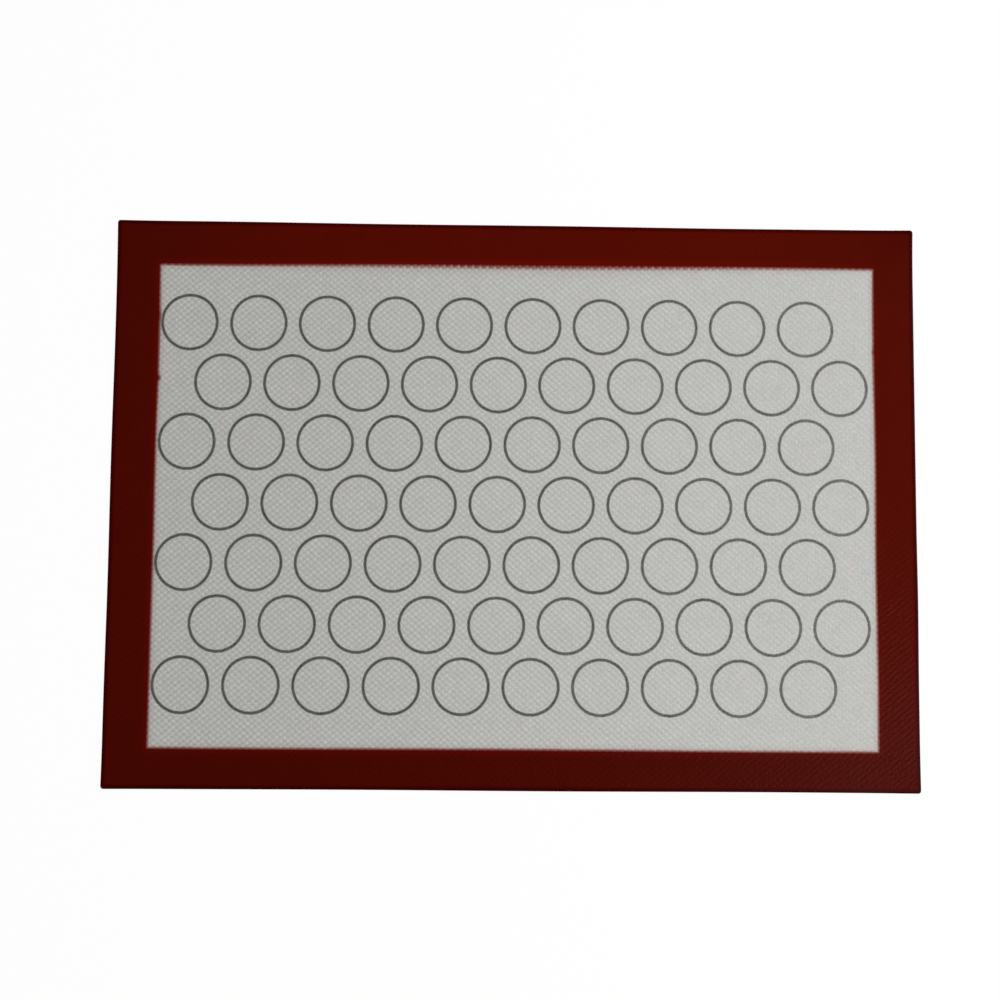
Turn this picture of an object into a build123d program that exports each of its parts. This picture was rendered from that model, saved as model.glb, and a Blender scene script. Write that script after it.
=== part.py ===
from build123d import *

import os

# A silicone baking mat for a half-sheet tray, in millimetres.
# It lies flat with its working face up. The origin is under its centre, on the
# surface that it lies on. +X runs along its length and +Y towards its back edge.
#
# A woven glass cloth is the core. A silicone coat covers each face of the cloth
# inside the window, and a coloured silicone frame wraps the cut edge of the cloth
# all round. Rings printed on the top coat guide the piping.

# Outline of the mat
mat_length = 420.0
mat_depth = 295.0
corner_radius = 1.5

# Layers through the thickness
cloth_thickness = 0.3
coat_thickness = 0.2
border_proud = 0.05
edge_flat = 0.3

# Border frame: its width on each side, and how far the cloth stays inside its edge.
# The inner line of the back border was printed a little out of square.
border_left = 23.2
border_right = 21.7
border_front = 21.0
border_back_at_left = 23.5
border_back_at_right = 21.3
edge_seal = 2.0

# Guide rings: staggered rows, in ink that is thickest at the middle of its line.
# Flats stand for the round line, and stay nearer to it than the print wobbles.
ring_rows = 7
rings_per_row = 10
flats_per_ring = 32
ring_diameter = 28.5
ring_line_width = 1.3
ink_thickness = 0.05
stagger_share = 0.5

# Bare coat left between the border and the outermost rings
ring_margin_left = 0.8
ring_margin_right = 3.1
ring_margin_front = 16.9
ring_margin_back = 15.5

# Heights above the surface that the mat lies on
base_coat_z = border_proud
cloth_z = base_coat_z + coat_thickness
top_coat_z = cloth_z + cloth_thickness
coat_face_z = top_coat_z + coat_thickness
mat_thickness = coat_face_z + border_proud

# The window inside the border frame
window_left = -mat_length / 2 + border_left
window_right = mat_length / 2 - border_right
window_front = -mat_depth / 2 + border_front
window_back_left = mat_depth / 2 - border_back_at_left
window_back_right = mat_depth / 2 - border_back_at_right

# The ring grid fills the window between its margins
ring_outer_radius = (ring_diameter + ring_line_width) / 2
grid_left = window_left + ring_margin_left + ring_outer_radius
grid_right = window_right - ring_margin_right - ring_outer_radius
grid_front = window_front + ring_margin_front + ring_outer_radius
grid_back = min(window_back_left, window_back_right) - ring_margin_back - ring_outer_radius
ring_pitch = (grid_right - grid_left) / (rings_per_row - 1 + stagger_share)
row_pitch = (grid_back - grid_front) / (ring_rows - 1)


def sheet(outline, bottom_z, thickness):
    """A flat sheet of one outline, standing on a height."""
    return extrude(Plane.XY.offset(bottom_z) * outline, amount=thickness)


def window_outline():
    """The opening of the border frame, as a face."""
    corners = [
        (window_left, window_front),
        (window_right, window_front),
        (window_right, window_back_right),
        (window_left, window_back_left),
    ]
    return make_face(Polyline(*corners, close=True))


def cloth_outline():
    """The cloth's square-cut outline, held back inside the border frame."""
    return Rectangle(mat_length - 2 * edge_seal, mat_depth - 2 * edge_seal)


def make_glass_cloth():
    """The woven core, as a plain sheet."""
    return sheet(cloth_outline(), cloth_z, cloth_thickness)


def make_coat(bottom_z):
    """One silicone coat, which fills the window on one face of the cloth."""
    return sheet(window_outline(), bottom_z, coat_thickness)


def make_border_frame():
    """The frame: a slot grips the cloth's edge, and the outer edge is bevelled."""
    outline = RectangleRounded(mat_length, mat_depth, corner_radius)
    body = sheet(outline, 0, mat_thickness)
    levels = body.faces().sort_by(Axis.Z)
    rims = levels[0].edges() + levels[-1].edges()
    body = chamfer(rims, (mat_thickness - edge_flat) / 2)
    body -= sheet(window_outline(), 0, mat_thickness)
    body -= sheet(cloth_outline(), cloth_z, cloth_thickness)
    return body


def ink_plug(foot_radius, top_radius):
    """A many-sided plug as high as the ink, which tapers from its foot to its top."""
    foot = RegularPolygon(foot_radius, flats_per_ring)
    top = Pos(0, 0, ink_thickness) * RegularPolygon(top_radius, flats_per_ring)
    return loft([foot.face(), top.face()], ruled=True)


def make_guide_ring():
    """One printed ring at the origin: a low ridge of ink between two tapered plugs."""
    middle = ring_diameter / 2
    half_line = ring_line_width / 2
    return ink_plug(middle + half_line, middle) - ink_plug(middle - half_line, middle)


def ring_row(row):
    """The rings of one row, counted from the back, each a solid of its own."""
    ring = make_guide_ring()
    shift = stagger_share * ring_pitch if row % 2 else 0
    y = grid_back - row * row_pitch
    places = [(grid_left + shift + column * ring_pitch, y) for column in range(rings_per_row)]
    return Compound(children=[Pos(x, y, coat_face_z) * ring for x, y in places])


nodes = {
    "glass_cloth": make_glass_cloth(),
    "base_coat": make_coat(base_coat_z),
    "top_coat": make_coat(top_coat_z),
    "border_frame": make_border_frame(),
}
for row in range(ring_rows):
    nodes[f"guide_rings_row_{row + 1}"] = ring_row(row)

os.makedirs("parts", exist_ok=True)
for name, shape in nodes.items():
    export_step(shape, f"parts/{name}.step")

print(f"mat {mat_length:.1f} x {mat_depth:.1f} x {mat_thickness:.2f} mm")
print(f"ring pitch {ring_pitch:.2f} mm along a row, {row_pitch:.2f} mm between rows")
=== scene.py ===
# %% [markdown]
# A silicone baking mat, seen from almost straight above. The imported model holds
# its plain solids: a glass cloth, a coat on each face of it, a border frame and
# seventy printed rings. Each plain solid gets a fuller piece here, in the same
# place, and each piece takes its sizes from the solid that it stands for.

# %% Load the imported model
import math

import bpy
import numpy as np
from mathutils import Euler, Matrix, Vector


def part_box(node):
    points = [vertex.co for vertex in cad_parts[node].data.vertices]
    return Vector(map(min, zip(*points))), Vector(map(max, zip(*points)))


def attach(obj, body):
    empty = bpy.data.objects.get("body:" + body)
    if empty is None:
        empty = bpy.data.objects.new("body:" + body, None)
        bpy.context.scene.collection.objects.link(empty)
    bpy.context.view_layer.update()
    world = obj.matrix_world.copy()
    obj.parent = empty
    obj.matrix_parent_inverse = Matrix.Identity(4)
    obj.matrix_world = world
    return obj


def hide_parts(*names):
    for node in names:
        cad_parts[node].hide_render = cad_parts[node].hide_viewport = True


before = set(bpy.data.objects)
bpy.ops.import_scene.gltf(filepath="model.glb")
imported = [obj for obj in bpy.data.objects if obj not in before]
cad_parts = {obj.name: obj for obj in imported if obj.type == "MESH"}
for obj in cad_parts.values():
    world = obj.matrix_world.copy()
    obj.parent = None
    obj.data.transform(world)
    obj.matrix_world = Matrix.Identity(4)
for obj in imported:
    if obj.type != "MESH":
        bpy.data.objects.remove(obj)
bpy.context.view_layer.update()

MM = 0.001
mat_low, mat_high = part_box("border_frame")
cloth_low, cloth_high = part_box("glass_cloth")
coat_low, coat_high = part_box("top_coat")
base_low, base_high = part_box("base_coat")
print("mat", [round(v / MM, 2) for v in mat_high - mat_low], "mm")

# %% [markdown]
# The camera stands where the photograph was taken from: 65 centimetres up, and about
# four degrees off the vertical. Its lens is plain, with no shift. It is set first,
# so that every later step can be judged in the picture.

# %% Camera
camera_place = (-0.01940, -0.04642, 0.64933)
camera_turn_degrees = (4.241, -1.045, 0.500)
lens_mm = 45.0
sensor_mm = 36.0

camera_data = bpy.data.cameras.new("camera")
camera_data.lens = lens_mm
camera_data.sensor_width = sensor_mm
camera_data.clip_start = 0.01
camera = bpy.data.objects.new("camera", camera_data)
bpy.context.scene.collection.objects.link(camera)
camera.location = camera_place
camera.rotation_euler = Euler([math.radians(turn) for turn in camera_turn_degrees])
bpy.context.scene.camera = camera
print("camera", round(camera.location.length / MM), "mm from the mat's middle")

# %% [markdown]
# The glass cloth is a plain weave, a little out of square with the mat's cut edge.
# Its crossings print through every layer above it: they raise the coats, ruffle the
# inner line of the border and break the edges of the rings. One function gives the
# height of the weave at any place, and all the pieces share it, so they agree.

# %% The weave
warp_pitch = 1.90 * MM
weft_pitch = 1.635 * MM
weave_turn = math.radians(1.5)
turn_cos, turn_sin = math.cos(weave_turn), math.sin(weave_turn)


def weave(x, y):
    """Height of the cloth at a place: 1 on the warp's crossings and -1 on the weft's."""
    across = (x * turn_cos - y * turn_sin) / warp_pitch
    along = (x * turn_sin + y * turn_cos) / weft_pitch
    return np.cos(np.pi * across) * np.cos(np.pi * along)


print("yarns over the mat's length", round((cloth_high.x - cloth_low.x) / warp_pitch))

# %% [markdown]
# A mat that has been rolled never lies quite flat again: its corners stay up by
# about a millimetre. The window lies flat, so only the border lifts, within the
# last three centimetres before each corner.

# %% How the corners lift
lift_reach = 30.0 * MM
corner_lifts = {(-1, 1): 0.9 * MM, (1, 1): 1.1 * MM, (-1, -1): 1.0 * MM, (1, -1): 0.7 * MM}


def lift(x, y):
    """How far the mat stands off the table at a place."""
    height = np.zeros_like(x)
    for (side_x, side_y), corner_lift in corner_lifts.items():
        gap = np.hypot(mat_high.x - side_x * x, mat_high.y - side_y * y)
        height = height + corner_lift * np.clip(1 - gap / lift_reach, 0, 1) ** 2
    return height


print("corners lift by up to", round(max(corner_lifts.values()) / MM, 1), "mm")

# %% [markdown]
# The window is the opening that the border leaves, where the grey coat shows. Three
# of its sides are square to the mat, and its back line slopes a little. The plain
# coat already has that outline, so it is measured there and not typed in again.

# %% The window's straight outline
coat_points = np.array([vertex.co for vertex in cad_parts["top_coat"].data.vertices])
window_left, window_right = coat_low.x, coat_high.x
window_front = coat_low.y
window_back_left = coat_points[coat_points[:, 0] < 0][:, 1].max()
window_back_right = coat_points[coat_points[:, 0] > 0][:, 1].max()
back_slope = (window_back_right - window_back_left) / (window_right - window_left)


def window_back(x):
    """The straight back line of the window, before it wanders."""
    return window_back_left + back_slope * (x - window_left)


print("window", round((window_right - window_left) / MM, 1), "mm wide")

# %% [markdown]
# The window's edge was printed, so it isn't ruler straight. It wanders in long
# waves, with a tooth or two at the sides. Along the back it is ragged too, where the
# red silicone stopped against the crossings of the weave. One function per side
# gives the edge, and the coats and the border frame both follow it, so they meet.

# %% How the window's edge wanders


def wave(place, crest, length):
    """A long wave of height 1 with a crest at one place."""
    return np.cos(2 * np.pi * (place - crest) / length)


def hump(place, crest, reach):
    """A single smooth hump of height 1 with its crest at one place."""
    return np.exp(-(((place - crest) / reach) ** 2))


fine_ruffle = 0.03 * MM


def left_wander(y):
    """How far the window's left edge lies to the right of its straight line."""
    fading = np.clip((y - window_front) / (window_back_left - window_front), 0, 1)
    long_wave = 0.3 * MM * wave(y, crest=78 * MM, length=110 * MM) * fading
    long_tooth = 1.1 * MM * hump(y, crest=64 * MM, reach=1.5 * MM)
    low_tooth = 0.4 * MM * hump(y, crest=97 * MM, reach=3 * MM)
    return long_wave + (long_tooth + low_tooth) - fine_ruffle * weave(window_left, y)


def right_wander(y):
    """How far the window's right edge lies to the right of its straight line."""
    long_wave = -0.22 * MM * wave(y, crest=85 * MM, length=115 * MM)
    tooth = -0.35 * MM * hump(y, crest=82 * MM, reach=2 * MM)
    return long_wave + tooth + fine_ruffle * weave(window_right, y)


def front_wander(x):
    """How far the window's front edge lies behind its straight line."""
    long_wave = -0.2 * MM * wave(x, crest=-140 * MM, length=270 * MM)
    return long_wave - fine_ruffle * weave(x, window_front)


def back_wander(x):
    """How far the window's back edge lies behind its straight line."""
    long_wave = 0.28 * MM * wave(x, crest=-67 * MM, length=190 * MM)
    most_ragged = 0.33 * hump(x, crest=-27 * MM, reach=22 * MM)
    less_ragged = 0.2 * hump(x, crest=62 * MM, reach=38 * MM)
    ragged = 0.12 + most_ragged + less_ragged
    return long_wave + ragged * MM * weave(x, window_back(x))


back_stations = np.linspace(window_left, window_right, 1000)
most_wander = np.abs(back_wander(back_stations)).max()
print("the back edge wanders by up to", round(most_wander / MM, 2), "mm")

# %% Pieces follow the window's edge
edge_reach = 4 * MM


def near(distance):
    """1 on an edge, falling to 0 where its wander no longer reaches."""
    return np.clip(1 - np.abs(distance) / edge_reach, 0, 1) ** 2


def follow_window(x, y):
    """Moves places near the window's straight outline onto the real, wandering one."""
    moved_x = x + near(x - window_left) * left_wander(y)
    moved_x = moved_x + near(x - window_right) * right_wander(y)
    moved_y = y + near(y - window_front) * front_wander(x)
    moved_y = moved_y + near(y - window_back(x)) * back_wander(x)
    return moved_x, moved_y


print("points move within", round(edge_reach / MM, 1), "mm of the window's edge")

# %% [markdown]
# The red thins out towards its edge, over about a millimetre, and over up to two near
# the middle of the back. So each point of the coats and the border keeps how near to
# that line it is, as a number that the finishes read later. The fade could be painted
# by place instead, but then it wouldn't follow the wandering line.

# %% How near the window's edge is
fade_elsewhere = 0.9 * MM
fade_middle = 20 * MM
fade_spread = 115 * MM


def nearness(x, y, fade_at_back):
    """1 on the line where red meets grey, 0 where its fade ends, and less beyond."""
    to_sides = np.minimum(np.abs(x - window_left), np.abs(x - window_right))
    beyond_sides = np.clip(np.maximum(window_left - x, x - window_right), 0, None)
    beyond_ends = np.clip(np.maximum(window_front - y, y - window_back(x)), 0, None)
    from_sides = np.hypot(to_sides, beyond_ends) / fade_elsewhere
    from_front = np.hypot(y - window_front, beyond_sides) / fade_elsewhere
    widening = hump(x, crest=fade_middle, reach=fade_spread)
    back_fade = fade_elsewhere + (fade_at_back - fade_elsewhere) * widening
    from_back = np.hypot(y - window_back(x), beyond_sides) / back_fade
    return np.clip(1 - np.minimum(np.minimum(from_sides, from_front), from_back), -4, 1)


def write_nearness(piece, values):
    """Stores a nearness on a piece's points, where its finish can read it."""
    stored = piece.data.attributes.new("nearness", "FLOAT", "POINT")
    stored.data.foreach_set("value", values.astype(np.float32))


print("the red fades over", round(fade_elsewhere / MM, 1), "mm, and over more at the back")

# %% [markdown]
# Modelling by hand needs the same few moves again and again: go into edit mode,
# select by place, read the points as an array and write them back. They are short
# helpers, so each piece below reads as its own steps.

# %% Helpers for meshes


def only(piece):
    """Deselects everything and makes one piece the active one."""
    bpy.ops.object.select_all(action="DESELECT")
    piece.select_set(True)
    bpy.context.view_layer.objects.active = piece


def read_points(piece):
    """The places of a piece's points, one row each."""
    flat = np.empty(len(piece.data.vertices) * 3)
    piece.data.vertices.foreach_get("co", flat)
    return flat.reshape(-1, 3)


def write_points(piece, points):
    """Puts a piece's points at new places."""
    piece.data.vertices.foreach_set("co", points.ravel())
    piece.data.update()


def choose_edges(piece, chosen):
    """Selects the edges whose two ends are both among the chosen points, in edit mode."""
    ends = np.empty(len(piece.data.edges) * 2, int)
    piece.data.edges.foreach_get("vertices", ends)
    ends = ends.reshape(-1, 2)
    piece.data.polygons.foreach_set("select", np.zeros(len(piece.data.polygons), bool))
    piece.data.vertices.foreach_set("select", np.zeros(len(piece.data.vertices), bool))
    piece.data.edges.foreach_set("select", chosen[ends].all(1))
    bpy.ops.object.mode_set(mode="EDIT")
    bpy.ops.mesh.select_mode(type="EDGE")


def chosen_points(piece):
    """Which points are selected, back in object mode."""
    bpy.ops.object.mode_set(mode="OBJECT")
    flags = np.empty(len(piece.data.vertices), bool)
    piece.data.vertices.foreach_get("select", flags)
    return flags


def say(piece):
    """Prints how many faces and triangles a piece has."""
    triangles = sum(len(face.vertices) - 2 for face in piece.data.polygons)
    print(piece.name, len(piece.data.polygons), "faces", triangles, "triangles")


print("made the helpers for meshes")

# %% [markdown]
# The border frame is one moulded piece with a C-shaped section: a top leg and a
# bottom leg grip the cut edge of the cloth, and a rounded rim closes them outside.
# It starts as a fine grid, because its surface has to carry the weave. The window
# is deleted, the sheet is copied down for the underside, and the two are bridged
# at the rim. The inner edge is then extruded down, out, down and back to make the
# slot. Only when the form is closed are its points moved to where the real ones lie.

# %% Border frame: the grid
frame_cell = warp_pitch / 2


def count_cells(start, stop):
    """How many cells of the frame's grid fit between two places."""
    return max(1, round(abs(stop - start) / frame_cell))


def spaced(stations):
    """Evenly spaced places between each pair of stations, with no station twice."""
    parts = [np.array(stations[:1])]
    for start, stop in zip(stations, stations[1:]):
        parts.append(np.linspace(start, stop, count_cells(start, stop) + 1)[1:])
    return np.concatenate(parts)


column_x = spaced([mat_low.x, window_left, window_right, mat_high.x])
row_y = spaced([mat_low.y, window_front, window_back_left, mat_high.y])
bpy.ops.object.select_all(action="DESELECT")
bpy.ops.mesh.primitive_grid_add(
    x_subdivisions=len(column_x) - 1, y_subdivisions=len(row_y) - 1, size=1
)
border_frame = bpy.context.object
border_frame.name = "border"
unit = read_points(border_frame)
column = np.rint((unit[:, 0] + 0.5) * (len(column_x) - 1)).astype(int)
row = np.rint((unit[:, 1] + 0.5) * (len(row_y) - 1)).astype(int)
x, y = column_x[column], row_y[row]
behind = np.clip(y - window_back_left, 0, None) / (mat_high.y - window_back_left)
inside = np.clip((y - window_front) / (window_back_left - window_front), 0, 1)
y = y + inside * (1 - behind) * (window_back(x) - window_back_left)
write_points(border_frame, np.column_stack([x, y, np.full(len(x), mat_high.z)]))
say(border_frame)

# %% Border frame: the window and the underside
centres = np.empty(len(border_frame.data.polygons) * 3)
border_frame.data.polygons.foreach_get("center", centres)
centres = centres.reshape(-1, 3)
in_window = (
    (centres[:, 0] > window_left)
    & (centres[:, 0] < window_right)
    & (centres[:, 1] > window_front)
    & (centres[:, 1] < window_back(centres[:, 0]))
)
only(border_frame)
bpy.ops.object.mode_set(mode="EDIT")
bpy.ops.mesh.select_mode(type="FACE")
bpy.ops.mesh.select_all(action="DESELECT")
bpy.ops.object.mode_set(mode="OBJECT")
border_frame.data.polygons.foreach_set("select", in_window)
bpy.ops.object.mode_set(mode="EDIT")
bpy.ops.mesh.delete(type="FACE")
bpy.ops.mesh.select_all(action="SELECT")
bpy.ops.mesh.duplicate()
bpy.ops.transform.translate(value=(0, 0, mat_low.z - mat_high.z))
bpy.ops.mesh.flip_normals()
bpy.ops.object.mode_set(mode="OBJECT")
say(border_frame)

# %% Border frame: the rim
rim_cuts = 3
hair = 0.001 * MM


def on_rim(points):
    """Which points lie on the mat's outer outline."""
    at_side = (points[:, 0] < mat_low.x + hair) | (points[:, 0] > mat_high.x - hair)
    at_end = (points[:, 1] < mat_low.y + hair) | (points[:, 1] > mat_high.y - hair)
    return at_side | at_end


def on_window(points):
    """Which points lie on the window's straight outline."""
    x, y = points[:, 0], points[:, 1]
    at_side = (np.abs(x - window_left) < hair) | (np.abs(x - window_right) < hair)
    at_end = (np.abs(y - window_front) < hair) | (np.abs(y - window_back(x)) < hair)
    between_x = (x > window_left - hair) & (x < window_right + hair)
    between_y = (y > window_front - hair) & (y < window_back(x) + hair)
    return (at_side | at_end) & between_x & between_y


choose_edges(border_frame, on_rim(read_points(border_frame)))
bpy.ops.mesh.bridge_edge_loops(number_cuts=rim_cuts, interpolation="LINEAR")
bpy.ops.object.mode_set(mode="OBJECT")
say(border_frame)

# %% Border frame: the slot for the cloth


def stretch_to_cloth(points):
    """Moves points on the window's outline out to the cut edge of the cloth."""
    x, y = points[:, 0].copy(), points[:, 1].copy()
    points[:, 0] = np.interp(x, [window_left, window_right], [cloth_low.x, cloth_high.x])
    share = (y - window_front) / (window_back(x) - window_front)
    points[:, 1] = cloth_low.y + np.clip(share, 0, 1) * (cloth_high.y - cloth_low.y)
    return points


start = read_points(border_frame)
choose_edges(border_frame, on_window(start) & (start[:, 2] > mat_high.z - hair))
drop = cloth_high.z - mat_high.z
bpy.ops.mesh.extrude_edges_move(TRANSFORM_OT_translate={"value": (0, 0, drop)})
bpy.ops.mesh.extrude_edges_move(TRANSFORM_OT_translate={"value": (0, 0, 0)})
moving = chosen_points(border_frame)
points = read_points(border_frame)
window_line = points[moving].copy()
points[moving] = stretch_to_cloth(points[moving])
write_points(border_frame, points)
bpy.ops.object.mode_set(mode="EDIT")
drop = cloth_low.z - cloth_high.z
bpy.ops.mesh.extrude_edges_move(TRANSFORM_OT_translate={"value": (0, 0, drop)})
bpy.ops.mesh.extrude_edges_move(TRANSFORM_OT_translate={"value": (0, 0, 0)})
moving = chosen_points(border_frame)
points = read_points(border_frame)
points[moving, :2] = window_line[:, :2]
write_points(border_frame, points)
lowest = np.abs(points[:, 2] - mat_low.z) < hair
choose_edges(border_frame, on_window(points) & (moving | lowest))
bpy.ops.mesh.bridge_edge_loops()
bpy.ops.mesh.select_all(action="SELECT")
bpy.ops.mesh.normals_make_consistent(inside=False)
bpy.ops.object.mode_set(mode="OBJECT")
say(border_frame)

# %% [markdown]
# The closed frame is still ruler straight. Its points now move: the inner edge
# onto the ragged window line, the outer edge onto its rounded corners and slight
# wander, the rim to a round section, and both faces up and down with the weave.
# The outermost two millimetres hold no cloth, so they stay smooth.

# %% Border frame: how its outer edge lies
corner_radius = 1.5 * MM


def outer_wander(x, y):
    """How far the outer edge lies out of its straight line, sideways and in depth."""
    right = 0.25 * MM * hump(y, crest=-50 * MM, reach=25 * MM)
    left = 0.12 * MM * wave(y, crest=-105 * MM, length=130 * MM)
    back = 0.1 * MM * wave(x, crest=190 * MM, length=170 * MM)
    front = 0.1 * MM * wave(x, crest=-190 * MM, length=210 * MM)
    out_x = near(mat_high.x - x) * right - near(x - mat_low.x) * left
    out_y = near(mat_high.y - y) * back - near(y - mat_low.y) * front
    return out_x, out_y


def round_corners(x, y, inset):
    """Pulls points outside the rounded outline, less an inset, back onto it."""
    centre_x = mat_high.x - corner_radius
    centre_y = mat_high.y - corner_radius
    over_x = np.clip(np.abs(x) - centre_x, 0, None)
    over_y = np.clip(np.abs(y) - centre_y, 0, None)
    reach = np.hypot(over_x, over_y)
    limit = corner_radius - inset
    pull = np.where(reach > limit, limit / np.maximum(reach, hair), 1)
    new_x = np.where(over_x > 0, np.sign(x) * (centre_x + over_x * pull), x)
    new_y = np.where(over_y > 0, np.sign(y) * (centre_y + over_y * pull), y)
    return new_x, new_y


print("corners rounded to", round(corner_radius / MM, 1), "mm")

# %% Border frame: settle the points
rim_round = 0.28 * MM
frame_relief = 0.022 * MM
sealed_width = cloth_low.x - mat_low.x
smooth_angle = math.radians(50)

points = read_points(border_frame)
x, y, z = points.T
write_nearness(border_frame, nearness(x, y, fade_at_back=1.3 * MM))
rim = on_rim(points)
middle_z = (mat_low.z + mat_high.z) / 2
height_share = np.clip((z - middle_z) / (mat_high.z - middle_z), -1, 1)
inset = np.where(rim, rim_round * (1 - np.sqrt(1 - height_share**2)), 0)
x, y = round_corners(x, y, inset)
out_x, out_y = outer_wander(x, y)
x, y = x + out_x, y + out_y
x, y = follow_window(x, y)
to_rim = np.minimum(mat_high.x - np.abs(x), mat_high.y - np.abs(y))
over_cloth = np.clip(to_rim / sealed_width - 1, 0, 1)
relief = frame_relief * weave(x, y) * over_cloth
z = np.where(z > mat_high.z - hair, z + relief, z)
z = np.where(z < mat_low.z + hair, z - np.minimum(relief, 0), z)
write_points(border_frame, np.column_stack([x, y, z + lift(x, y)]))
only(border_frame)
bpy.ops.object.shade_smooth_by_angle(angle=smooth_angle)
say(border_frame)

# %% [markdown]
# The two coats are thin skins of silicone that follow the cloth. Their faces carry
# real relief. A point at each crossing alone would give a smooth-shaded face no
# slope at all, because a crown and a hollow are both level, so the sheet also has a
# point half way between neighbours, where the slope is steepest. The saddles
# between them need none, which keeps a coat under two hundred thousand triangles.

# %% Coats: a sheet with the weave in it


def to_mat(across, along):
    """From places counted in yarns to places on the mat."""
    u, v = across * warp_pitch, along * weft_pitch
    return np.column_stack([u * turn_cos + v * turn_sin, v * turn_cos - u * turn_sin])


def woven_sheet(name, columns, rows):
    """A flat sheet with a point at each crossing of the cloth and half way between."""
    i, j = np.meshgrid(np.arange(columns + 1), np.arange(rows + 1), indexing="ij")
    crossing = to_mat(i.ravel() - columns // 2, j.ravel() - rows // 2)
    beside = to_mat(i[:-1].ravel() + 0.5 - columns // 2, j[:-1].ravel() - rows // 2)
    above = to_mat(i[:, :-1].ravel() - columns // 2, j[:, :-1].ravel() + 0.5 - rows // 2)
    plan = np.concatenate([crossing, beside, above])
    numbers = np.arange(len(plan))
    cross, side, up = np.split(numbers, [len(crossing), len(crossing) + len(beside)])
    cross = cross.reshape(columns + 1, rows + 1)
    side = side.reshape(columns, rows + 1)
    up = up.reshape(columns + 1, rows)
    saddle = np.stack([side[:, :-1], up[1:], side[:, 1:], up[:-1]], -1)
    corners = [
        np.stack([cross[:-1, :-1], side[:, :-1], up[:-1]], -1),
        np.stack([cross[1:, :-1], up[1:], side[:, :-1]], -1),
        np.stack([cross[1:, 1:], side[:, 1:], up[1:]], -1),
        np.stack([cross[:-1, 1:], up[:-1], side[:, 1:]], -1),
    ]
    faces = saddle.reshape(-1, 4).tolist()
    for corner in corners:
        faces += corner.reshape(-1, 3).tolist()
    mesh = bpy.data.meshes.new(name)
    mesh.from_pydata(np.column_stack([plan, np.zeros(len(plan))]).tolist(), [], faces)
    piece = bpy.data.objects.new(name, mesh)
    bpy.context.scene.collection.objects.link(piece)
    return piece


print("yarns over the window's width", round((window_right - window_left) / warp_pitch))

# %% Coats: cut to the window and close
coat_relief = 0.035 * MM
coat_tuck = 0.15 * MM
sheet_spare = 8 * MM
merge_gap = 0.04 * MM


def cut_outside(place, outward):
    """Cuts away what lies beyond a line, given a place on it and its outward direction."""
    bpy.ops.mesh.select_all(action="SELECT")
    bpy.ops.mesh.bisect(plane_co=place, plane_no=outward, clear_outer=True)


def make_coat(name, face_z, back_z):
    """One coat: its woven face at one height and its flat bonded back at another."""
    columns = 2 * math.ceil((window_right + sheet_spare) / warp_pitch)
    rows = 2 * math.ceil((window_back_right + sheet_spare) / weft_pitch)
    coat = woven_sheet(name, columns, rows)
    only(coat)
    bpy.ops.object.mode_set(mode="EDIT")
    cut_outside((window_left - coat_tuck, 0, 0), (-1, 0, 0))
    cut_outside((window_right + coat_tuck, 0, 0), (1, 0, 0))
    cut_outside((0, window_front - coat_tuck, 0), (0, -1, 0))
    cut_outside((0, window_back(0) + coat_tuck, 0), (-back_slope, 1, 0))
    bpy.ops.mesh.select_all(action="SELECT")
    bpy.ops.mesh.remove_doubles(threshold=merge_gap)
    bpy.ops.mesh.select_all(action="DESELECT")
    bpy.ops.mesh.select_mode(type="EDGE")
    bpy.ops.mesh.select_non_manifold(extend=False)
    bpy.ops.mesh.extrude_edges_move(TRANSFORM_OT_translate={"value": (0, 0, back_z - face_z)})
    bpy.ops.mesh.edge_face_add()
    bpy.ops.mesh.select_all(action="SELECT")
    bpy.ops.mesh.normals_make_consistent(inside=False)
    bpy.ops.object.mode_set(mode="OBJECT")
    x, y, z = read_points(coat).T
    write_nearness(coat, nearness(x, y, fade_at_back=1.95 * MM))
    x, y = follow_window(x, y)
    outward = 1 if face_z > back_z else -1
    on_face = np.abs(z) < hair
    z = face_z + np.where(on_face, outward * coat_relief * weave(x, y), z)
    write_points(coat, np.column_stack([x, y, z]))
    bpy.ops.object.shade_smooth_by_angle(angle=smooth_angle)
    say(coat)
    return coat


top_coat = make_coat("top_silicone", coat_high.z, coat_low.z)
base_coat = make_coat("base_silicone", base_low.z, base_high.z)

# %% [markdown]
# The glass cloth is shut in between the coats and the border frame. It is modelled
# all the same, as a sheet that rises at one crossing and falls at the next, and
# stays faceted, because glass yarn lies in flat bands. Solidify gives its thickness.

# %% Glass cloth
yarn_rise = 0.05 * MM
depth_spare = 12 * MM
cloth_columns = 2 * math.ceil((cloth_high.x + sheet_spare) / warp_pitch)
cloth_rows = 2 * math.ceil((cloth_high.y + depth_spare) / weft_pitch)
bpy.ops.object.select_all(action="DESELECT")
bpy.ops.mesh.primitive_grid_add(
    x_subdivisions=cloth_columns, y_subdivisions=cloth_rows, size=1
)
glass_cloth = bpy.context.object
glass_cloth.name = "woven_glass"
unit = read_points(glass_cloth)
plan = to_mat(np.rint(unit[:, 0] * cloth_columns), np.rint(unit[:, 1] * cloth_rows))
write_points(glass_cloth, np.column_stack([plan, np.zeros(len(plan))]))
only(glass_cloth)
bpy.ops.object.mode_set(mode="EDIT")
cut_outside((cloth_low.x, 0, 0), (-1, 0, 0))
cut_outside((cloth_high.x, 0, 0), (1, 0, 0))
cut_outside((0, cloth_low.y, 0), (0, -1, 0))
cut_outside((0, cloth_high.y, 0), (0, 1, 0))
bpy.ops.mesh.select_all(action="SELECT")
bpy.ops.mesh.remove_doubles(threshold=merge_gap)
bpy.ops.object.mode_set(mode="OBJECT")
x, y, z = read_points(glass_cloth).T
z = cloth_high.z - yarn_rise + yarn_rise * weave(x, y) + lift(x, y)
write_points(glass_cloth, np.column_stack([x, y, z]))
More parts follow.
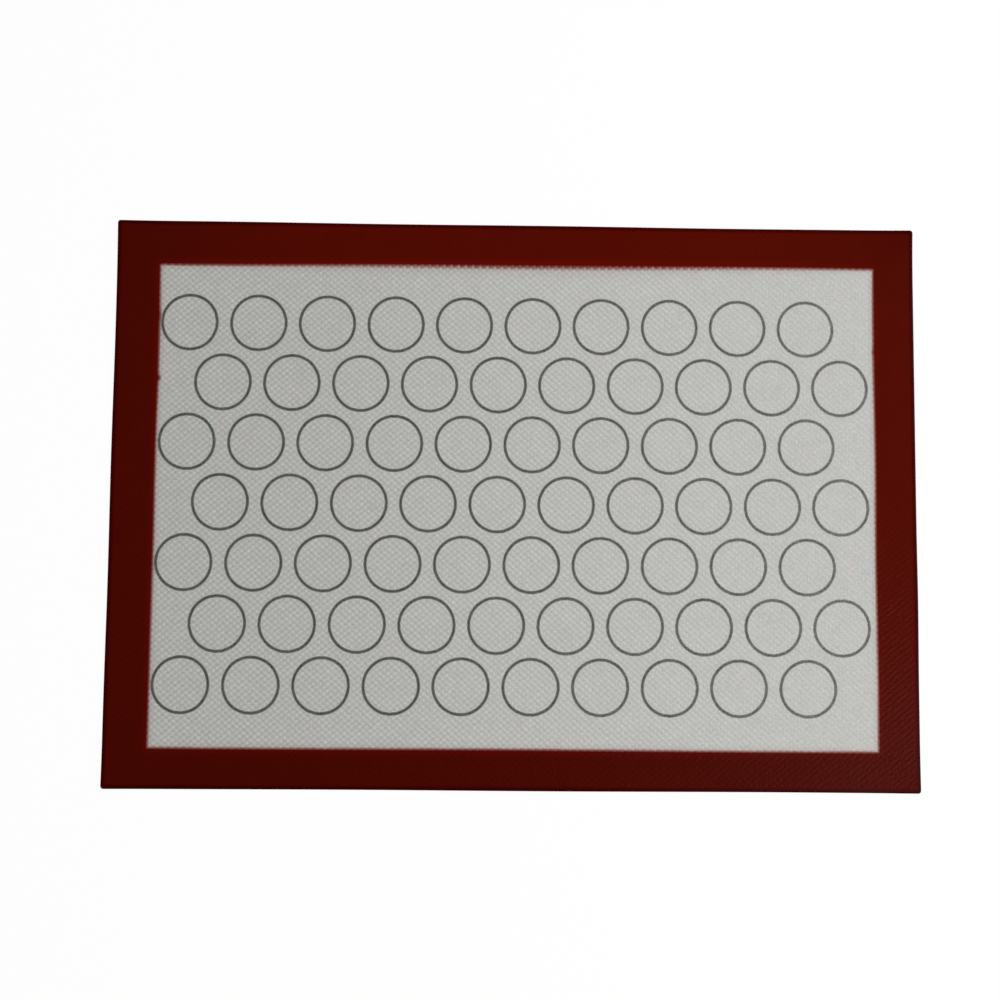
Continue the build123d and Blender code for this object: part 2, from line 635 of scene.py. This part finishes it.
thickness = glass_cloth.modifiers.new("thickness", "SOLIDIFY")
thickness.thickness = cloth_high.z - cloth_low.z - 2 * yarn_rise
thickness.offset = -1
bpy.ops.object.modifier_apply(modifier="thickness")
say(glass_cloth)

# %% [markdown]
# The guide rings are screen-printed ink. A printed line is thickest in its middle
# and feathers out at its edges, so one ring starts as a torus, squashed flat. Its
# feathered edges spread wider than the plain solid's line, and its points keep how
# thin the ink is there, for its finish. The ring is copied to its ten places in a
# row. Each copy then settles on the weave: the ink rides over the crossings and its
# edge breaks a little where the surface falls away.

# %% Guide rings: one printed ring
ring_segments = 160
section_sides = 8
solid_line_width = 1.3 * MM
line_width = 1.8 * MM
ink_sunk = 0.012 * MM
edge_thinness = 0.7


def make_ring(radius, height):
    """One printed ring at the origin, with its feathered edges at height 0."""
    bpy.ops.object.select_all(action="DESELECT")
    bpy.ops.mesh.primitive_torus_add(
        major_radius=radius,
        minor_radius=line_width / 2,
        major_segments=ring_segments,
        minor_segments=section_sides,
    )
    ring = bpy.context.object
    bpy.ops.object.mode_set(mode="EDIT")
    bpy.ops.mesh.select_all(action="SELECT")
    bpy.ops.transform.resize(value=(1, 1, 2 * height / line_width))
    bpy.ops.object.mode_set(mode="OBJECT")
    points = read_points(ring)
    from_centre = np.hypot(points[:, 0], points[:, 1])
    off_middle = np.abs(from_centre - radius) / (line_width / 2)
    write_nearness(ring, edge_thinness * off_middle**3)
    points[:, 2] = np.maximum(points[:, 2], -ink_sunk)
    write_points(ring, points)
    return ring


row_names = [f"guide_rings_row_{number}" for number in range(1, 8)]
ring_low, ring_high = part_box(row_names[0])
outer_radius = (ring_high.y - ring_low.y) / 2
first_ring = make_ring(outer_radius - solid_line_width / 2, ring_high.z - ring_low.z)
print("one ring has", len(first_ring.data.polygons), "faces")

# %% Guide rings: seven rows of ten
rings_per_row = 10
ink_break = 0.07 * MM
ring_wobble = 0.05 * MM
wobble_turn = 90


def print_row(name, ring):
    """Copies the ring to the ten places of its row and settles the ink on the weave."""
    low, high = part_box(name)
    outer_radius = (high.y - low.y) / 2
    first_x, last_x = low.x + outer_radius, high.x - outer_radius
    centre_y = (high.y + low.y) / 2
    shape = read_points(ring)
    copies = []
    for centre_x in np.linspace(first_x, last_x, rings_per_row):
        copy = ring.copy()
        copy.data = ring.data.copy()
        bpy.context.scene.collection.objects.link(copy)
        x, y, z = (shape + [centre_x, centre_y, 0]).T
        from_centre = np.hypot(shape[:, 0], shape[:, 1])
        outward = np.sign(from_centre - from_centre.mean())
        shift = ink_break * (weave(x, y) + 0.6 * weave(y, x)) * outward
        angle = np.arctan2(shape[:, 1], shape[:, 0])
        wobble = ring_wobble * np.cos(3 * angle + centre_x * wobble_turn)
        pull = 1 + (shift + wobble) / from_centre
        x = centre_x + shape[:, 0] * pull
        y = centre_y + shape[:, 1] * pull
        z = z + coat_high.z + coat_relief * weave(x, y)
        write_points(copy, np.column_stack([x, y, z]))
        copies.append(copy)
    bpy.ops.object.select_all(action="DESELECT")
    for copy in copies:
        copy.select_set(True)
    bpy.context.view_layer.objects.active = copies[0]
    bpy.ops.object.join()
    rings = bpy.context.object
    rings.name = name.replace("guide_rings", "printed_rings")
    bpy.ops.object.shade_smooth()
    say(rings)
    return rings


printed_rows = [print_row(name, first_ring) for name in row_names]
bpy.data.objects.remove(first_ring)

# %% [markdown]
# Finishes are written as sums. A socket of a node tree is wrapped in a small class,
# so that 1 - mask or 0.2 * spots adds the Math nodes by itself, and the line on the
# page reads as the formula that it is. Any other node comes from one method.

# %% A way to write finishes


class Signal:
    """One value that varies over a surface. A sum with it in Python adds nodes."""

    def __init__(self, tree, socket):
        self.tree = tree
        self.socket = socket

    def maths(self, operation, *values):
        return self.tree.node("ShaderNodeMath", {"operation": operation}, dict(enumerate(values)))

    def __add__(self, other):
        return self.maths("ADD", self, other)

    def __sub__(self, other):
        return self.maths("SUBTRACT", self, other)

    def __rsub__(self, other):
        return self.maths("SUBTRACT", other, self)

    def __mul__(self, other):
        return self.maths("MULTIPLY", self, other)

    __radd__ = __add__
    __rmul__ = __mul__

    def cosine(self):
        return self.maths("COSINE", self)

    def size(self):
        return self.maths("ABSOLUTE", self)

    def smaller(self, other):
        return self.maths("MINIMUM", self, other)

    def larger(self, other):
        return self.maths("MAXIMUM", self, other)

    def rise(self, start, stop):
        """0 before start, 1 after stop, and smooth between them."""
        ends = {"Value": self, "From Min": start, "From Max": stop}
        return self.tree.node("ShaderNodeMapRange", {"interpolation_type": "SMOOTHSTEP"}, ends)


class NodeTree:
    """A node tree with one method that adds any node to it."""

    def __init__(self, tree):
        self.tree = tree

    def node(self, kind, settings=None, values=None, output=0):
        """Adds a node, with its settings first and then its values or links."""
        made = self.tree.nodes.new(kind)
        for name, setting in (settings or {}).items():
            setattr(made, name, setting)
        for name, value in (values or {}).items():
            if isinstance(value, Signal):
                self.tree.links.new(value.socket, made.inputs[name])
            else:
                made.inputs[name].default_value = value
        return Signal(self, made.outputs[output])


print("made a way to write finishes")

# %% [markdown]
# The mat's finishes share some patterns: the place in millimetres, soft noise, the
# two diagonal waves that make up the weave, and the fade where red meets grey. They
# are methods of one kind of finish. The weave's waves are the same sums as in the
# relief, so light dots and raised crossings fall together. Each finish starts with
# the refraction of silicone rubber.

# %% What the finishes share
silicone_ior = 1.41
warp_shift = 0.9


class Finish(NodeTree):
    """A material with one shader, and the patterns that its finish is made of."""

    def __init__(self, name, roughness, specular):
        self.material = bpy.data.materials.new(name)
        self.material.use_nodes = True
        super().__init__(self.material.node_tree)
        self.shader = self.tree.nodes["Principled BSDF"]
        self.shader.inputs["Roughness"].default_value = roughness
        self.shader.inputs["Specular IOR Level"].default_value = specular
        self.shader.inputs["IOR"].default_value = silicone_ior

    def feed(self, name, signal):
        """Links a signal to the shader."""
        self.tree.links.new(signal.socket, self.shader.inputs[name])

    def place(self):
        """The place on the mat, in millimetres: a vector, then its x and y alone."""
        object_place = self.node("ShaderNodeTexCoord", output="Object")
        scaled = self.node(
            "ShaderNodeVectorMath",
            {"operation": "SCALE"},
            {0: object_place, "Scale": 1 / MM},
        )
        x = self.node("ShaderNodeSeparateXYZ", values={0: scaled}, output="X")
        y = self.node("ShaderNodeSeparateXYZ", values={0: scaled}, output="Y")
        return scaled, x, y

    def noise(self, place, size_mm, detail):
        """Soft noise about 0, from -1 to 1, with spots of a size in millimetres."""
        values = {"Vector": place, "Scale": 1 / size_mm, "Detail": detail}
        return (self.node("ShaderNodeTexNoise", values=values) - 0.5) * 2

    def mix(self, share, first, second):
        """A colour between two colours."""
        values = {0: share, 6: first, 7: second}
        return self.node("ShaderNodeMix", {"data_type": "RGBA"}, values, output=2)

    def tint(self, colour, brightness):
        """A colour made lighter or darker by a signal about 1."""
        values = {0: colour, "Scale": brightness}
        return self.node("ShaderNodeVectorMath", {"operation": "SCALE"}, values)

    def across(self, x, y):
        """The place across the warp's yarns, as an angle that grows by pi a yarn."""
        return (x * turn_cos - y * turn_sin) * (math.pi * MM / warp_pitch)

    def yarns(self, x, y):
        """The two diagonal waves whose mean is the weave."""
        across = self.across(x, y)
        along = (x * turn_sin + y * turn_cos) * (math.pi * MM / weft_pitch)
        return (across + along).cosine(), (across - along).cosine()

    def warp(self, x, y):
        """The wave of the warp's yarns alone, with its crests beside their middles."""
        return (2 * self.across(x, y) - warp_shift).cosine()

    def nearness(self):
        """The stored nearness to the line where red meets grey."""
        return self.node("ShaderNodeAttribute", {"attribute_name": "nearness"}, output="Fac")

    def faded(self, x, y, side):
        """How far the finish has faded to the thin print: side is 1 on red and -1 on grey."""
        # The crossings ruffle the fade everywhere, and most at the middle of the back.
        falling, rising = self.yarns(x, y)
        off_middle = (x - fade_middle / MM).size().rise(60.0, 170.0)
        ragged = 0.4 + 0.65 * (y.rise(100.0, 115.0) * (1 - off_middle))
        ruffle = side * ragged * (0.55 * (falling + rising) + 0.5 * self.warp(x, y))
        fade = self.nearness().larger(0.0)
        return (fade + fade * (1 - fade) * ruffle).larger(0.0).smaller(1.0)


print("silicone bends light by", silicone_ior)

# %% [markdown]
# Inside the window the silicone is a translucent grey skin on white glass yarn. The
# crossings show through it as light dots, which the two diagonal waves of the weave
# make where they meet. The rising wave is painted fainter towards the right, so the
# dots run together into lines there; that is painted light, as the lamp on the right
# lights one diagonal of the relief more than the other. A faint wave beside the warp's
# yarns is partly their own colour and partly painted shading of their relief. The
# grey is painted lighter in the middle and darker towards the right, as painted light.
# Noise from the size of a single yarn to that of a coin breaks the dots up, with a
# little pink and green in the grey. Beside the window's edge the red has bled into the
# skin, which makes the last few millimetres pinker.

# %% Coat silicone
coat_grey = (0.481, 0.480, 0.456, 1.0)
pink_grey = (0.500, 0.470, 0.456, 1.0)
green_grey = (0.462, 0.490, 0.460, 1.0)
thin_red = (0.255, 0.106, 0.097, 1.0)


def make_coat_finish():
    """Grey skin with light dots on the crossings, pinker beside the window's edge."""
    finish = Finish("coat_silicone", roughness=0.42, specular=0.3)
    place, x, y = finish.place()
    falling, rising = finish.yarns(x, y)
    patches = finish.noise(place, size_mm=9.0, detail=2.0)
    uneven = finish.noise(place, size_mm=5.0, detail=3.0)
    per_yarn = finish.noise(place, size_mm=2.1, detail=2.0)
    speckle = finish.noise(place, size_mm=1.1, detail=2.0)
    fine = finish.noise(place, size_mm=0.7, detail=1.0)
    # painted light: the grey is lighter from the left to the middle and darker towards the right,
    # as the light falls across the window
    painted_light_across = 0.04 * x.rise(-130.0, 20.0) - 0.05 * x.rise(80.0, 200.0)
    # painted light: the rising wave fades towards the right as the lamp there lights one diagonal
    # of the relief; the warp's wave is partly the yarns' own colour and partly painted shading
    dots = falling * (0.080 - 0.045 * x.rise(20.0, 190.0) + 0.05 * uneven)
    dots = dots + rising * (0.085 - 0.073 * x.rise(-190.0, 190.0) - 0.05 * uneven)
    dots = dots * (1 + 0.8 * per_yarn) + 0.018 * finish.warp(x, y)
    blotches = 0.05 * patches + 0.08 * per_yarn + 0.14 * speckle + 0.25 * fine
    brightness = 1 + dots + painted_light_across + blotches
    hue = finish.noise(place, size_mm=6.0, detail=3.0)
    colour = finish.mix(hue.rise(0.05, 0.6), coat_grey, pink_grey)
    colour = finish.mix((0 - hue).rise(0.05, 0.6), colour, green_grey)
    colour = finish.tint(colour, brightness)
    bled = 0.17 * finish.nearness().rise(-3.0, 0.8)
    colour = finish.mix(bled, colour, thin_red)
    colour = finish.mix(finish.faded(x, y, side=-1), colour, thin_red)
    finish.feed("Base Color", colour)
    finish.feed("Roughness", 0.43 + 0.05 * patches)
    return finish.material


coat_finish = make_coat_finish()
print("made", coat_finish.name)

# %% [markdown]
# The border is dark red silicone with a satin face. Along the rim, where no cloth
# lies under it, its colour is painted darker, as shade on the rounded edge. It is
# lightest beside the window and along the back, and along the sides it is painted
# lighter towards the right, as painted light. The weave hardly shows in its colour,
# but it ruffles the face, so fine lines appear wherever a lamp is mirrored, as in the
# near right corner. They fade towards the back, and a fine unevenness breaks them up.
# A bump makes these lines, because they are finer than the frame's grid.

# %% Border silicone
border_red = (0.0635, 0.0028, 0.0007, 1.0)
window_red = (0.084, 0.0028, 0.0007, 1.0)
rim_shade_red = (0.036, 0.0006, 0.0001, 1.0)
border_weave = 0.04 * MM


def make_border_finish():
    """Dark red with a darker rim and a soft edge at the window, and a ruffled face."""
    finish = Finish("border_silicone", roughness=0.25, specular=0.05)
    place, x, y = finish.place()
    falling, rising = finish.yarns(x, y)
    patches = finish.noise(place, size_mm=14.0, detail=3.0)
    grain = finish.noise(place, size_mm=1.3, detail=3.0)
    # Painted darkest along the rim, as shade on its rounded edge, and lightest beside the window
    to_rim = (mat_high.x / MM - x.size()).smaller(mat_high.y / MM - y.size())
    beside = finish.nearness().rise(-4.0, 0.0) * (1 - 0.6 * x.rise(0.0, 230.0))
    colour = finish.mix(beside, border_red, window_red)
    colour = finish.mix(1 - to_rim.rise(0.9, 2.9), colour, rim_shade_red)
    # Lighter away from the corners, most of all along the back, and along the sides painted
    # lighter towards the right as painted light
    along_sides = (1 - y.size().rise(80.0, 150.0)) * (0.09 + x * (0.04 * MM / mat_high.x))
    along_ends = 1 - x.size().rise(110.0, 225.0)
    lighter_by_place = 1 + along_sides + along_ends * (0.12 + y * (0.17 * MM / mat_high.y))
    shade = 1 + 0.03 * rising + 0.06 * patches + 0.06 * grain
    colour = finish.tint(colour, shade * lighter_by_place)
    finish.feed("Base Color", finish.mix(finish.faded(x, y, side=1), colour, thin_red))
    finish.feed("Roughness", 0.25 + 0.04 * patches + 0.03 * grain)
    # Fine lines of the weave over the cloth, which fade towards the back
    uneven = 0.9 + 1.3 * finish.noise(place, size_mm=4.0, detail=2.0)
    showing = to_rim.rise(1.8, 3.2) * uneven * (1 - 0.75 * y.rise(-60.0, 30.0))
    lines = 0.3 * falling + rising * (0.4 + 0.2 * y.rise(-138.0, -100.0))
    height = (lines + 2.6 * finish.noise(place, size_mm=1.5, detail=1.0)) * showing
    bump = {"Height": height, "Distance": border_weave, "Strength": 1.0}
    finish.feed("Normal", finish.node("ShaderNodeBump", values=bump))
    return finish.material


border_finish = make_border_finish()
print("made", border_finish.name)

# %% [markdown]
# The rings are a thin dark grey ink. It is worn and a little uneven where it rides
# over the crossings, paler towards the right, and thin at the edges of its lines,
# where its points say so. The glass cloth is white yarn with fine fibres. It is shut
# in, so a plain finish is enough for it.

# %% Ink and glass
ink_colour = (0.059, 0.061, 0.053, 1.0)
right_hand_ink = (0.104, 0.106, 0.094, 1.0)
thin_ink = (0.40, 0.405, 0.38, 1.0)
glass_white = (0.62, 0.62, 0.58, 1.0)


def make_ink_finish():
    """Worn dark ink that thins out where its points say that it does."""
    finish = Finish("guide_ink", roughness=0.5, specular=0.3)
    place, x, y = finish.place()
    falling, rising = finish.yarns(x, y)
    worn = finish.noise(place, size_mm=3.0, detail=3.0)
    brightness = 1 + 0.3 * falling * rising + 0.95 * worn
    # The ink is mixed paler towards the right.
    colour = finish.mix(x.rise(-90.0, 250.0), ink_colour, right_hand_ink)
    colour = finish.tint(colour, brightness)
    finish.feed("Base Color", finish.mix(finish.nearness(), colour, thin_ink))
    finish.feed("Roughness", 0.5 + 0.06 * worn)
    return finish.material


def make_glass_finish():
    """White yarn, lighter on the warp's crossings, with fine fibres."""
    finish = Finish("glass_yarn", roughness=0.5, specular=0.5)
    place, x, y = finish.place()
    falling, rising = finish.yarns(x, y)
    fibres = finish.noise(place, size_mm=0.4, detail=2.0)
    brightness = 1 + 0.06 * (falling + rising) + 0.08 * fibres
    finish.feed("Base Color", finish.tint(glass_white[:3], brightness))
    finish.feed("Roughness", 0.5 + 0.1 * fibres)
    return finish.material


ink_finish = make_ink_finish()
glass_finish = make_glass_finish()
print("made", ink_finish.name, "and", glass_finish.name)

# %% [markdown]
# Each piece now gets which body it moves with and which finish it has, and the
# plain solid that it stands for is hidden. The area that a coat covers is worked
# out from the size that it was cut to.

# %% Give the pieces their bodies and finishes


def settle(piece, node, finish):
    """Gives a piece its body and its finish, and hides its solid."""
    piece.data.materials.clear()
    piece.data.materials.append(finish)
    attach(piece, "root")
    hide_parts(node)


settle(border_frame, "border_frame", border_finish)
settle(top_coat, "top_coat", coat_finish)
settle(base_coat, "base_coat", coat_finish)
settle(glass_cloth, "glass_cloth", glass_finish)
for rings, name in zip(printed_rows, row_names):
    settle(rings, name, ink_finish)

coat_cut = (window_right - window_left, window_back_right - window_front)
mean_depth = (window_back_left + window_back_right) / 2 - window_front
coat_area = coat_cut[0] * mean_depth
print("a coat covers", round(coat_area / MM**2 / 100), "square centimetres")

# %% [markdown]
# The floor is white to the camera and in reflections, and plain pale paint to the
# lamps, so the mat still lays its thin shadow on it. It lies a little below the mat,
# because two faces at one height can't be told apart.

# %% Floor
floor_gap = 0.15 * MM
floor_size = 8
floor_paint = (0.97, 0.97, 0.97, 1)
white_share = 0.94
bpy.ops.object.select_all(action="DESELECT")
bpy.ops.mesh.primitive_plane_add(size=floor_size, location=(0, 0, -floor_gap))
floor = bpy.context.object
floor.name = "floor"
floor_finish = Finish("floor_white", roughness=0.9, specular=0.0)
floor_finish.shader.inputs["Base Color"].default_value = floor_paint
seen = floor_finish.node("ShaderNodeLightPath", output="Is Camera Ray")
seen = seen + floor_finish.node("ShaderNodeLightPath", output="Is Glossy Ray")
seen = seen + floor_finish.node("ShaderNodeLightPath", output="Is Transmission Ray")
white = floor_finish.node("ShaderNodeEmission", values={"Strength": 1.0})
diffuse = Signal(floor_finish, floor_finish.shader.outputs[0])
mixed = {0: seen.smaller(1.0) * white_share, 1: diffuse, 2: white}
shown = floor_finish.node("ShaderNodeMixShader", values=mixed)
surface = floor_finish.tree.nodes["Material Output"].inputs["Surface"]
floor_finish.tree.links.new(shown.socket, surface)
floor.data.materials.append(floor_finish.material)
print("floor", floor_size, "m wide")

# %% [markdown]
# The studio is plain: white walls that light the mat from all sides, a dark ceiling
# and one large lamp low on the right, so the mat grows lighter towards the right.
# From above, a satin face mirrors the ceiling, which keeps the red deep. A small
# lamp and a dim screen stand where the near right corner mirrors them, and give that
# corner its sheen.

# %% Lamps


def soft_lamp(name, place, size, watts):
    """A square area lamp that points at the middle of the mat."""
    lamp_data = bpy.data.lights.new(name, "AREA")
    lamp_data.size = size
    lamp_data.energy = watts
    lamp = bpy.data.objects.new(name, lamp_data)
    bpy.context.scene.collection.objects.link(lamp)
    lamp.location = place
    lamp.rotation_euler = (-Vector(place)).to_track_quat("-Z", "Y").to_euler()
    print(name, "at", place, "with", watts, "W")


soft_lamp("right_lamp", place=(1.05, 0.26, 0.62), size=0.9, watts=11.6)
soft_lamp("front_lamp", place=(0.55, -0.33, 0.72), size=0.3, watts=1.05)
soft_lamp("front_screen", place=(0.36, -0.28, 0.72), size=0.45, watts=0.42)

# %% Studio walls
wall_light = 1.38
ceiling_shade = 1.35
world = bpy.data.worlds.new("studio")
world.use_nodes = True
bpy.context.scene.world = world
studio = NodeTree(world.node_tree)
direction = studio.node("ShaderNodeTexCoord", output="Generated")
height = studio.node("ShaderNodeSeparateXYZ", values={0: direction}, output="Z")
strength = wall_light - ceiling_shade * height.rise(0.30, 0.85)
background = world.node_tree.nodes["Background"]
background.inputs["Color"].default_value = (1, 1, 1, 1)
world.node_tree.links.new(strength.socket, background.inputs["Strength"])
bpy.context.scene.view_settings.view_transform = "Standard"
print("walls at", wall_light, "and ceiling at", round(wall_light - ceiling_shade, 2))
